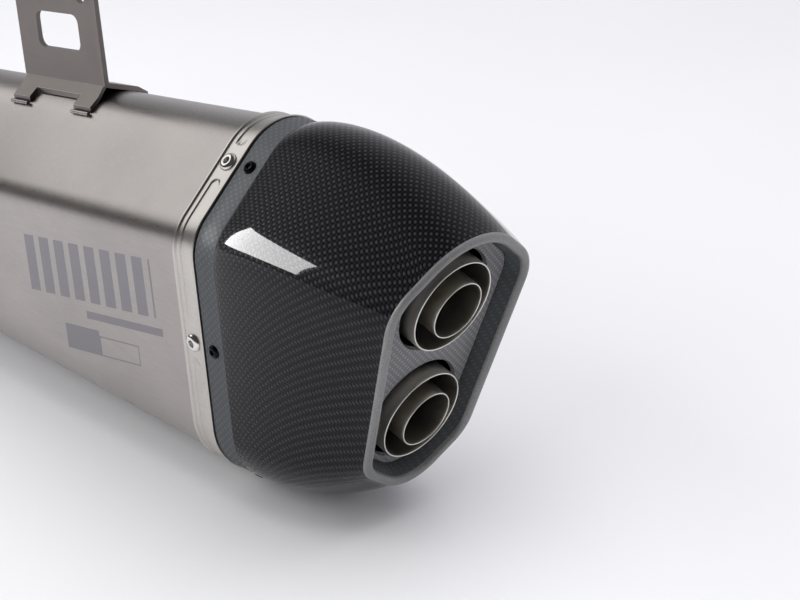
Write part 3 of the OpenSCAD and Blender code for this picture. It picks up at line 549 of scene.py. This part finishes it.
def cap_ring(u, grow):
    """A ring of the cap's outside: u is 0 at the collar's end and 1 at the rim."""
    centre = Vector((CAP_X + COLLAR, 0, TAIL_HEIGHT)).lerp(RIM - FACE_OUT * ROLL, u)
    ridge, shoulder, lower, keel = mix(CAP_SECTION, RIM_SECTION, u ** BULGE)
    swell = CROWN_SWELL * sin(pi * u ** ONSET)
    half = [(0, ridge[1] + swell, ridge[2]),
            (shoulder[0] - swell * SIDE_SHARE, shoulder[1] + swell, shoulder[2]), lower, keel]
    return leaning_ring(centre, FACE_TILT * u, half, grow)


def face_ring(height, grow):
    """A ring on the outlet face, at a height over the rim's crest."""
    return leaning_ring(RIM + FACE_OUT * height, FACE_TILT, RIM_SECTION, grow)


def woven_carbon(name, light, dark, coat, coat_rough, rough, depth):
    """Plain weave: tows cross over and under. The sheen of every other square, brightest at each
    tow's crown, is painted into the colour, and the squares between are left dim. depth is the
    weave's relief in mm, under the lacquer."""
    made, tree, shader = material(name, {"Metallic": 0.0, "Coat Weight": coat,
                                         "Coat Roughness": coat_rough, "Coat IOR": 1.25,
                                         "Specular IOR Level": 0.02})
    cloth = add(tree, "ShaderNodeUVMap", uv_map="skin")
    split = add(tree, "ShaderNodeSeparateXYZ", {"Vector": cloth.outputs["UV"]})
    cells, crowns = [], []
    for axis in ("X", "Y"):
        tow = add(tree, "ShaderNodeMath", {0: split.outputs[axis], 1: TOW}, operation="DIVIDE")
        cells.append(add(tree, "ShaderNodeMath", {0: tow.outputs["Value"]}, operation="FLOOR"))
        turn = add(tree, "ShaderNodeMath", {0: tow.outputs["Value"], 1: pi}, operation="MULTIPLY")
        wave = add(tree, "ShaderNodeMath", {0: turn.outputs["Value"]}, operation="SINE")
        crowns.append(add(tree, "ShaderNodeMath", {0: wave.outputs["Value"]}, operation="ABSOLUTE"))
    both = add(tree, "ShaderNodeMath", {0: cells[0].outputs["Value"], 1: cells[1].outputs["Value"]})
    over = add(tree, "ShaderNodeMath", {0: both.outputs["Value"], 1: 2.0}, operation="FLOORED_MODULO")
    crown = add(tree, "ShaderNodeMath", {0: crowns[0].outputs["Value"],
                                         1: crowns[1].outputs["Value"]}, operation="MULTIPLY")
    painted_crown_glint = add(tree, "ShaderNodeMath", {0: crown.outputs["Value"], 1: 0.8}, operation="POWER")
    facing = add(tree, "ShaderNodeMapRange", {"Value": over.outputs["Value"], "To Min": 0.22})
    fibre = add(tree, "ShaderNodeTexNoise", {"Vector": cloth.outputs["UV"], "Scale": 1.4,
                                             "Detail": 4.0})
    # Painted sheen: the lit squares and the crowns of their tows are lighter in colour.
    painted_weave_sheen = add(tree, "ShaderNodeMath", {0: facing.outputs["Result"], 1: painted_crown_glint.outputs["Value"]},
              operation="MULTIPLY")
    painted_weave_sheen = add(tree, "ShaderNodeMath", {0: painted_weave_sheen.outputs["Value"], 1: fibre.outputs["Fac"]},
              operation="MULTIPLY")
    shade = add(tree, "ShaderNodeMix", {"Factor": painted_weave_sheen.outputs["Value"], "A": linear(dark),
                                        "B": linear(light)}, data_type="RGBA")
    shine = add(tree, "ShaderNodeMapRange", {"Value": over.outputs["Value"], "To Min": rough + 0.2,
                                             "To Max": rough})
    relief = add(tree, "ShaderNodeBump", {"Height": crown.outputs["Value"], "Strength": 0.6,
                                          "Distance": depth * MM})
    tree.links.new(shade.outputs["Result"], shader.inputs["Base Color"])
    tree.links.new(shine.outputs["Result"], shader.inputs["Roughness"])
    tree.links.new(relief.outputs["Normal"], shader.inputs["Normal"])
    return made


# Carbon cloth under gloss lacquer is near black, with grey squares of painted sheen and sharp
# reflections.
carbon = woven_carbon("gloss_carbon_weave", "#4b4b53", "#020203", coat=1.0, coat_rough=0.05,
                      rough=0.4, depth=0.25)
# Rubbed down, the collar and the plate turn grey, and the cloth's painted sheen shows only faintly.
collar_carbon = woven_carbon("rubbed_carbon_collar", "#6c6e71", "#505255", coat=0.1,
                             coat_rough=0.3, rough=0.45, depth=0.05)
plate_carbon = woven_carbon("satin_carbon_weave", "#bababc", "#77777a", coat=0.4, coat_rough=0.3,
                            rough=0.42, depth=0.1)
# The roll is solid resin and fibre ends, sanded to a light grey with a faint metal sheen.
resin = grained_metal("rubbed_carbon_edge", "#7c7c7c", 0.42, 0.06, streak=EVEN, mottle=0.2)
resin.node_tree.nodes["Principled BSDF"].inputs["Metallic"].default_value = 0.3

rows = [ring(CAP_X, COLLAR_RISE - COLLAR_ROUND), ring(CAP_X + COLLAR_ROUND, COLLAR_RISE),
        ring(CAP_X + COLLAR / 2, COLLAR_RISE)]
collar_last = len(rows)
rows += [cap_ring((k / CAP_ROWS) ** ROW_SPREAD, 0) for k in range(CAP_ROWS + 1)]
roll_first = len(rows) - 1
rows += [face_ring(ROLL * (sin(a) - 1), ROLL * (cos(a) - 1))
         for a in [pi * k / ROLL_ROWS for k in range(1, ROLL_ROWS + 1)]]
roll_last = len(rows) - 1
recess_grow = -2 * ROLL - RECESS_FLARE
rows += [face_ring(-mix(ROLL, RECESS_DEPTH, t), mix(-2 * ROLL, recess_grow, t))
         for t in (0.35, 0.7, 1)]
recess_last = len(rows) - 1
back_of_plate = -RECESS_DEPTH - PLATE_WALL - SEAT
rows += [face_ring(back_of_plate, recess_grow), face_ring(back_of_plate, recess_grow - LEDGE),
         face_ring(back_of_plate - LEDGE_WALL, recess_grow - LEDGE),
         face_ring(back_of_plate - LEDGE_WALL, recess_grow + LEDGE_BACK),
         face_ring(-ROLL - NECK, -2 * ROLL + NECK_OUT)]
rows += [cap_ring((k / INNER_ROWS) ** ROW_SPREAD, -CAP_WALL) for k in reversed(range(INNER_ROWS))]
rows += [ring(CAP_X, COLLAR_RISE - CAP_WALL), rows[0]]
shell = loft(rows, weld=False)
row = shell.verts.layers.int["row"]
for face in shell.faces:
    at = [v[row] for v in face.verts]
    on_roll = min(at) >= roll_first and max(at) <= roll_last
    in_recess = min(at) >= roll_last and max(at) <= recess_last
    rubbed = max(at) <= collar_last or in_recess
    face.material_index = 1 if on_roll else 2 if rubbed else 0
bmesh.ops.remove_doubles(shell, verts=shell.verts, dist=1e-6)
bmesh.ops.recalc_face_normals(shell, faces=shell.faces)
cap = piece(shell, "carbon_end_cap", "silencer",
            [carbon, resin, collar_carbon], ["end_cap"], sharp=50)


def flagged(light, reaches):
    """Flags a light with cards: it reaches only the cap, or everything but the cap."""
    cards = bpy.data.collections.new(light.name + "_cards")
    cards.objects.link(cap)
    cards.collection_objects[0].light_linking.link_state = "INCLUDE" if reaches else "EXCLUDE"
    light.light_linking.receiver_collection = cards


flagged(side_box, True)
flagged(inlet_box, False)

# ======================================================================================
# Outlet plate: a flat carbon plate bonded on a ledge at the bottom of the recess. Its two
# holes clear the outlet tubes, and their edges are dished.
# ======================================================================================
TUBE_R, OUTLET_PITCH = 25.0, 66.5
HOLE_R, HOLE_DISH = TUBE_R + 2.6, 0.8
PLATE_EDGE, PLATE_ROUND, PLATE_PLAY = 1.5, 0.2, 0.05


def at_tip(s):
    """The frame of an outlet's tip: s is 1 for the upper and -1 for the lower, +Z out of it."""
    turn = Matrix((FACE_UP.cross(FACE_OUT) * -1, FACE_UP, FACE_OUT)).transposed().to_4x4()
    return Matrix.Translation((TAIL + FACE_UP * s * OUTLET_PITCH / 2) * MM) @ turn


low, high = -RECESS_DEPTH - PLATE_WALL, -RECESS_DEPTH
grow = recess_grow - SEAT
plate = loft([face_ring(low, grow - PLATE_EDGE), face_ring(low, grow),
              face_ring(high - PLATE_ROUND, grow), face_ring(high, grow - PLATE_ROUND),
              face_ring(high, grow - PLATE_EDGE)])
uv = plate.loops.layers.uv["skin"]
for level, s in ((low, 1), (low, -1), (high, 1), (high, -1)):
    radius = HOLE_R + (HOLE_DISH if level == high else 0)
    hole = bmesh.ops.create_circle(plate, radius=radius * MM, segments=96)["verts"]
    bmesh.ops.transform(plate, verts=hole,
                        matrix=at_tip(s) @ Matrix.Translation((0, 0, (level + TIP_DEPTH) * MM)))
open_edges = [e for e in plate.edges if e.is_boundary or e.is_wire]
for level in (low, high):
    here = [e for e in open_edges
            if all(abs((v.co / MM - RIM).dot(FACE_OUT) - level) < PLATE_PLAY for v in e.verts)]
    bmesh.ops.triangle_fill(plate, use_beauty=True, use_dissolve=False, edges=here)
for s in (1, -1):
    centre = TAIL + FACE_UP * s * OUTLET_PITCH / 2
    here = [e for e in plate.edges if e.is_boundary
            and all((v.co / MM - centre).cross(FACE_OUT).length < HOLE_R + 2 for v in e.verts)]
    bmesh.ops.bridge_loops(plate, edges=here)
for face in plate.faces:
    for corner in face.loops:
        corner[uv].uv = (corner.vert.co.y / MM, (corner.vert.co / MM - TAIL).dot(FACE_UP))
bmesh.ops.recalc_face_normals(plate, faces=plate.faces)
piece(plate, "carbon_outlet_plate", "silencer", [plate_carbon], ["outlet_plate"])

# ======================================================================================
# Outlet tubes and noise inserts: drawn tube, 50 and 31 mm, with rolled bright lips. The
# gas has tinted the lips straw and brown, and inside their colour gets darker from the lip inwards.
# ======================================================================================
TUBE_WALL, TUBE_LENGTH, RUN_GAP = 1.3, 66.0, 0.08
INSERT_R, INSERT_WALL, PROUD = 15.5, 1.0, 3.3
CONE_START, CONE_END, SKIRT_END = -36.0, -46.0, -54.0         # the insert widens to its skirt
LIP_DRAW, DARKEN_REACH = 2.2, 30.0


def inward_darkened_tube(name, lip_height):
    """Drawn stainless tube that darkens from its lip inwards, with a straw tint at the lip."""
    made = grained_metal(name, "#e4e2de", 0.34, 0.04, streak=(0.3, 0.3, 0.3), bump=0.0, mottle=0.03)
    tree = made.node_tree
    where = add(tree, "ShaderNodeTexCoord")
    depth = add(tree, "ShaderNodeVectorMath", {0: where.outputs["Object"], 1: FACE_OUT},
                operation="DOT_PRODUCT")
    lip = (TAIL.dot(FACE_OUT) + lip_height) * MM
    # The colour gets darker from the lip inwards, over a reach in mm.
    reach = add(tree, "ShaderNodeMapRange", {"Value": depth.outputs["Value"], "From Max": lip,
                                             "From Min": lip - DARKEN_REACH * MM})
    tones = add(tree, "ShaderNodeValToRGB", {"Fac": reach.outputs["Result"]})
    ramp = tones.color_ramp
    ramp.elements[0].color = linear("#b3b1ad")
    ramp.elements[1].color = linear("#f6f5f3")
    for at, code in ((0.45, "#c2c0bb"), (0.8, "#cfccc6"), (0.94, "#ddd9ce"), (0.98, "#f6f5f3")):
        ramp.elements.new(at).color = linear(code)
    mixed = add(tree, "ShaderNodeMix", {"Factor": 1.0, "A": tree.nodes["shade"].outputs["Result"],
                                        "B": tones.outputs["Color"]}, data_type="RGBA",
                blend_type="MULTIPLY")
    tree.links.new(mixed.outputs["Result"], tree.nodes["Principled BSDF"].inputs["Base Color"])
    return made


outer_steel = inward_darkened_tube("tinted_outlet_tube", 0.0)
inner_steel = inward_darkened_tube("tinted_insert_tube", PROUD)


def tube_profile(outer, wall, top, bottom):
    """A tube's wall that is drawn thin to a round lip."""
    r = wall * 0.3
    middle = outer - wall / 2
    lip = [(middle + r * cos(a), top - r + r * sin(a)) for a in [pi * k / 8 for k in range(9)]]
    return ([(outer, bottom), (outer, top - LIP_DRAW)] + lip
            + [(outer - wall, top - LIP_DRAW), (outer - wall, bottom)])


for s, tag in ((1, "upper"), (-1, "lower")):
    tube = revolve(tube_profile(TUBE_R, TUBE_WALL, 0.0, -TUBE_LENGTH), 96)
    bmesh.ops.transform(tube, matrix=at_tip(s), verts=tube.verts)
    piece(tube, tag + "_outlet", "silencer", [outer_steel], [tag + "_outlet_tube"])
    skirt = TUBE_R - TUBE_WALL - RUN_GAP
    wall = tube_profile(INSERT_R, INSERT_WALL, PROUD, CONE_START)
    inside = [(skirt - INSERT_WALL, CONE_END - 0.4), (skirt - INSERT_WALL, SKIRT_END)]
    insert = revolve([(skirt, SKIRT_END), (skirt, CONE_END)] + wall + inside, 80)
    bmesh.ops.transform(insert, matrix=at_tip(s), verts=insert.verts)
    piece(insert, tag + "_noise_tube", tag + "_noise_insert", [inner_steel],
          [tag + "_insert"])

# ======================================================================================
# Front cap and inlet: a titanium reducer, pressed from flat sheet, takes the sleeve down to
# the round inlet pipe. The pipe is drawn stainless with four slots, and is welded to it.
# ======================================================================================
def merged(node):
    """A node's own shape with its loose triangles joined."""
    bm = bmesh.new()
    bm.from_mesh(frame["nodes"][node].data)
    bmesh.ops.remove_doubles(bm, verts=bm.verts, dist=1e-6)
    return bm


# Stainless as it comes from the mill: grey, evenly grained, half dull.
plain_steel = grained_metal("plain_stainless", "#b4b1ab", 0.3, 0.06, streak=EVEN)
piece(merged("front_cap"), "pressed_front_cap", "silencer", [titanium],
      ["front_cap"], sharp=32)
piece(merged("inlet_pipe"), "slotted_inlet_pipe", "silencer", [plain_steel],
      ["inlet_pipe"], sharp=32)

# ======================================================================================
# Mounting bracket: 3 mm stainless sheet, cut with a window and two bolt holes, folded, and
# welded to the ridge by its four feet. Its cut edges are slightly rounded and coloured bright: a
# painted highlight.
# ======================================================================================
EDGE_ROUND = 0.55
FLAT, CRISP = radians(1), radians(40)
# The sheet is a dull brownish grey from the weld's heat, and its edges are coloured bright: a painted
# highlight.
bracket_metal = grained_metal("satin_bracket_sheet", "#77716e", 0.36, 0.06)
bright_edge_highlight_metal = grained_metal("painted_highlight_bracket_edge", "#e2dfda", 0.22, 0.05, streak=EVEN)
bm = merged("mounting_bracket")
bmesh.ops.dissolve_limit(bm, angle_limit=FLAT, use_dissolve_boundaries=False,
                         verts=bm.verts, edges=bm.edges)
crisp = [e for e in bm.edges if len(e.link_faces) == 2 and e.calc_face_angle() > CRISP]
rounded = bmesh.ops.bevel(bm, geom=crisp, offset=EDGE_ROUND * MM, affect="EDGES", segments=2,
                          profile=0.5, material=-1, clamp_overlap=True)
# The rounded edge faces take the bright colour, a painted highlight.
for face in rounded["faces"]:
    face.material_index = 1
piece(bm, "folded_bracket", "silencer", [bracket_metal, bright_edge_highlight_metal],
      ["mounting_bracket"], sharp=15)

# ======================================================================================
# Packing: steel wool wound 3 mm thick on each perforated core tube, and long strands of
# glass wool stuffed round them in both chambers. It is soft, lumpy and full of fibres.
# ======================================================================================
FIBRE = 0.4                    # a strand is 0.01 mm thick, so bundles are drawn 0.4 mm wide


def packed_fibre(name, light, dark, metal, rough):
    """Matted fibres: long wavy bundles raised from the surface, with painted shade in the dark gaps
    between them.
    """
    made, tree, shader = material(name, {"Metallic": metal, "Sheen Weight": 0.3})
    where = add(tree, "ShaderNodeTexCoord")
    tangle = add(tree, "ShaderNodeTexNoise", {"Vector": where.outputs["Object"], "Scale": 60.0,
                                              "Detail": 2.0})
    bent = add(tree, "ShaderNodeVectorMath", {0: tangle.outputs["Color"], 1: (0.02, 0.02, 0.02),
                                              2: where.outputs["Object"]}, operation="MULTIPLY_ADD")
    strands = add(tree, "ShaderNodeMapping", {"Vector": bent.outputs["Vector"],
                                              "Scale": [k / (FIBRE * MM) for k in (0.15, 1, 1)]})
    bundles = add(tree, "ShaderNodeTexNoise", {"Vector": strands.outputs["Vector"], "Scale": 1.0,
                                               "Detail": 5.0})
    # Painted shade: the dark colour lies in the gaps between the bundles.
    shade = add(tree, "ShaderNodeMix", {"Factor": bundles.outputs["Fac"], "A": linear(dark),
                                        "B": linear(light)}, data_type="RGBA")
    finish = add(tree, "ShaderNodeMapRange", {"Value": bundles.outputs["Fac"], "To Min": rough,
                                              "To Max": rough - 0.15})
    relief = add(tree, "ShaderNodeBump", {"Height": bundles.outputs["Fac"], "Distance": FIBRE * MM,
                                          "Strength": 0.8})
    tree.links.new(shade.outputs["Result"], shader.inputs["Base Color"])
    tree.links.new(finish.outputs["Result"], shader.inputs["Roughness"])
    tree.links.new(relief.outputs["Normal"], shader.inputs["Normal"])
    return made


def stuffed(node, name, finish, voxel, lump, depth):
    """Fibre in the space of a soft node: its skin is remeshed evenly, then pressed inwards by
    lumps of that size and depth, in mm, so that it stays clear of its neighbours."""
    bm = merged(node)
    mesh = bpy.data.meshes.new(name + "_form")
    bm.to_mesh(mesh)
    bm.free()
    form = bpy.data.objects.new(name + "_form", mesh)
    scene.collection.objects.link(form)
    remesh = form.modifiers.new("even", "REMESH")
    remesh.mode = "VOXEL"
    remesh.voxel_size = voxel * MM
    even = form.evaluated_get(bpy.context.evaluated_depsgraph_get())
    bm = bmesh.new()
    bm.from_mesh(even.to_mesh())
    even.to_mesh_clear()
    bpy.data.objects.remove(form)
    bmesh.ops.smooth_vert(bm, verts=bm.verts, factor=0.5, use_axis_x=True, use_axis_y=True,
                          use_axis_z=True)
    bm.normal_update()
    presses = [(v.normal.copy(), 0.2 + depth * (0.5 + noise.noise(v.co / (lump * MM))
                                                + 0.4 * noise.noise(v.co / (lump * MM / 3))))
               for v in bm.verts]
    for vert, (normal, press) in zip(bm.verts, presses):
        vert.co -= normal * max(0.1, press) * MM
    made = piece(bm, name, "silencer", [finish], [node], sharp=180)


# Steel wool glints grey and glass wool is dull cream; both are darker in the gaps between bundles, as
# painted shade.
steel_fibre = packed_fibre("wound_steel_wool", "#b9b5ae", "#3a3835", metal=0.9, rough=0.55)
glass_fibre = packed_fibre("stuffed_glass_wool", "#efe9d2", "#a2987a", metal=0.0, rough=0.95)
for tag in ("upper", "lower"):
    stuffed(tag + "_core_wrap", tag + "_steel_wool", steel_fibre, voxel=1.3,
            lump=5.0, depth=0.5)
for tag in ("front", "rear"):
    stuffed(tag + "_packing", tag + "_glass_wool", glass_fibre, voxel=3.0,
            lump=16.0, depth=2.0)

# ======================================================================================
# Inner steelwork: two drilled core tubes run from the front baffle, through the middle one,
# to the rear bulkhead. All are plain stainless, and keep the frame's own shapes.
# ======================================================================================
def dress(slot, finish):
    """Gives the frame's own nodes of a slot their finish."""
    for row in frame["record"]["subparts"]:
        if row["material_slot"] == slot:
            slots = frame["nodes"][row["node"]].data.materials
            slots.clear()
            slots.append(finish)


dress("inner_steel", plain_steel)

# ======================================================================================
# Inlet clamp and snap rings: a band with a T-bolt, its trunnion, washer and nut, which
# tightens the slotted inlet, and a wire ring that holds each noise insert in its tube.
# ======================================================================================
dress("clamp_steel", plain_steel)

# ======================================================================================
# Welds: the sleeve's long seam, the bead round the inlet, the beads at the elbows, and one
# at each foot of the bracket. They are laid by hand and left as welded.
# ======================================================================================
# Heat leaves weld metal faintly violet and uneven.
dress("weld_metal", grained_metal("heat_tinted_weld", "#a39d9f", 0.3, 0.08,
                                  streak=(0.4, 0.4, 0.4), mottle=0.3))
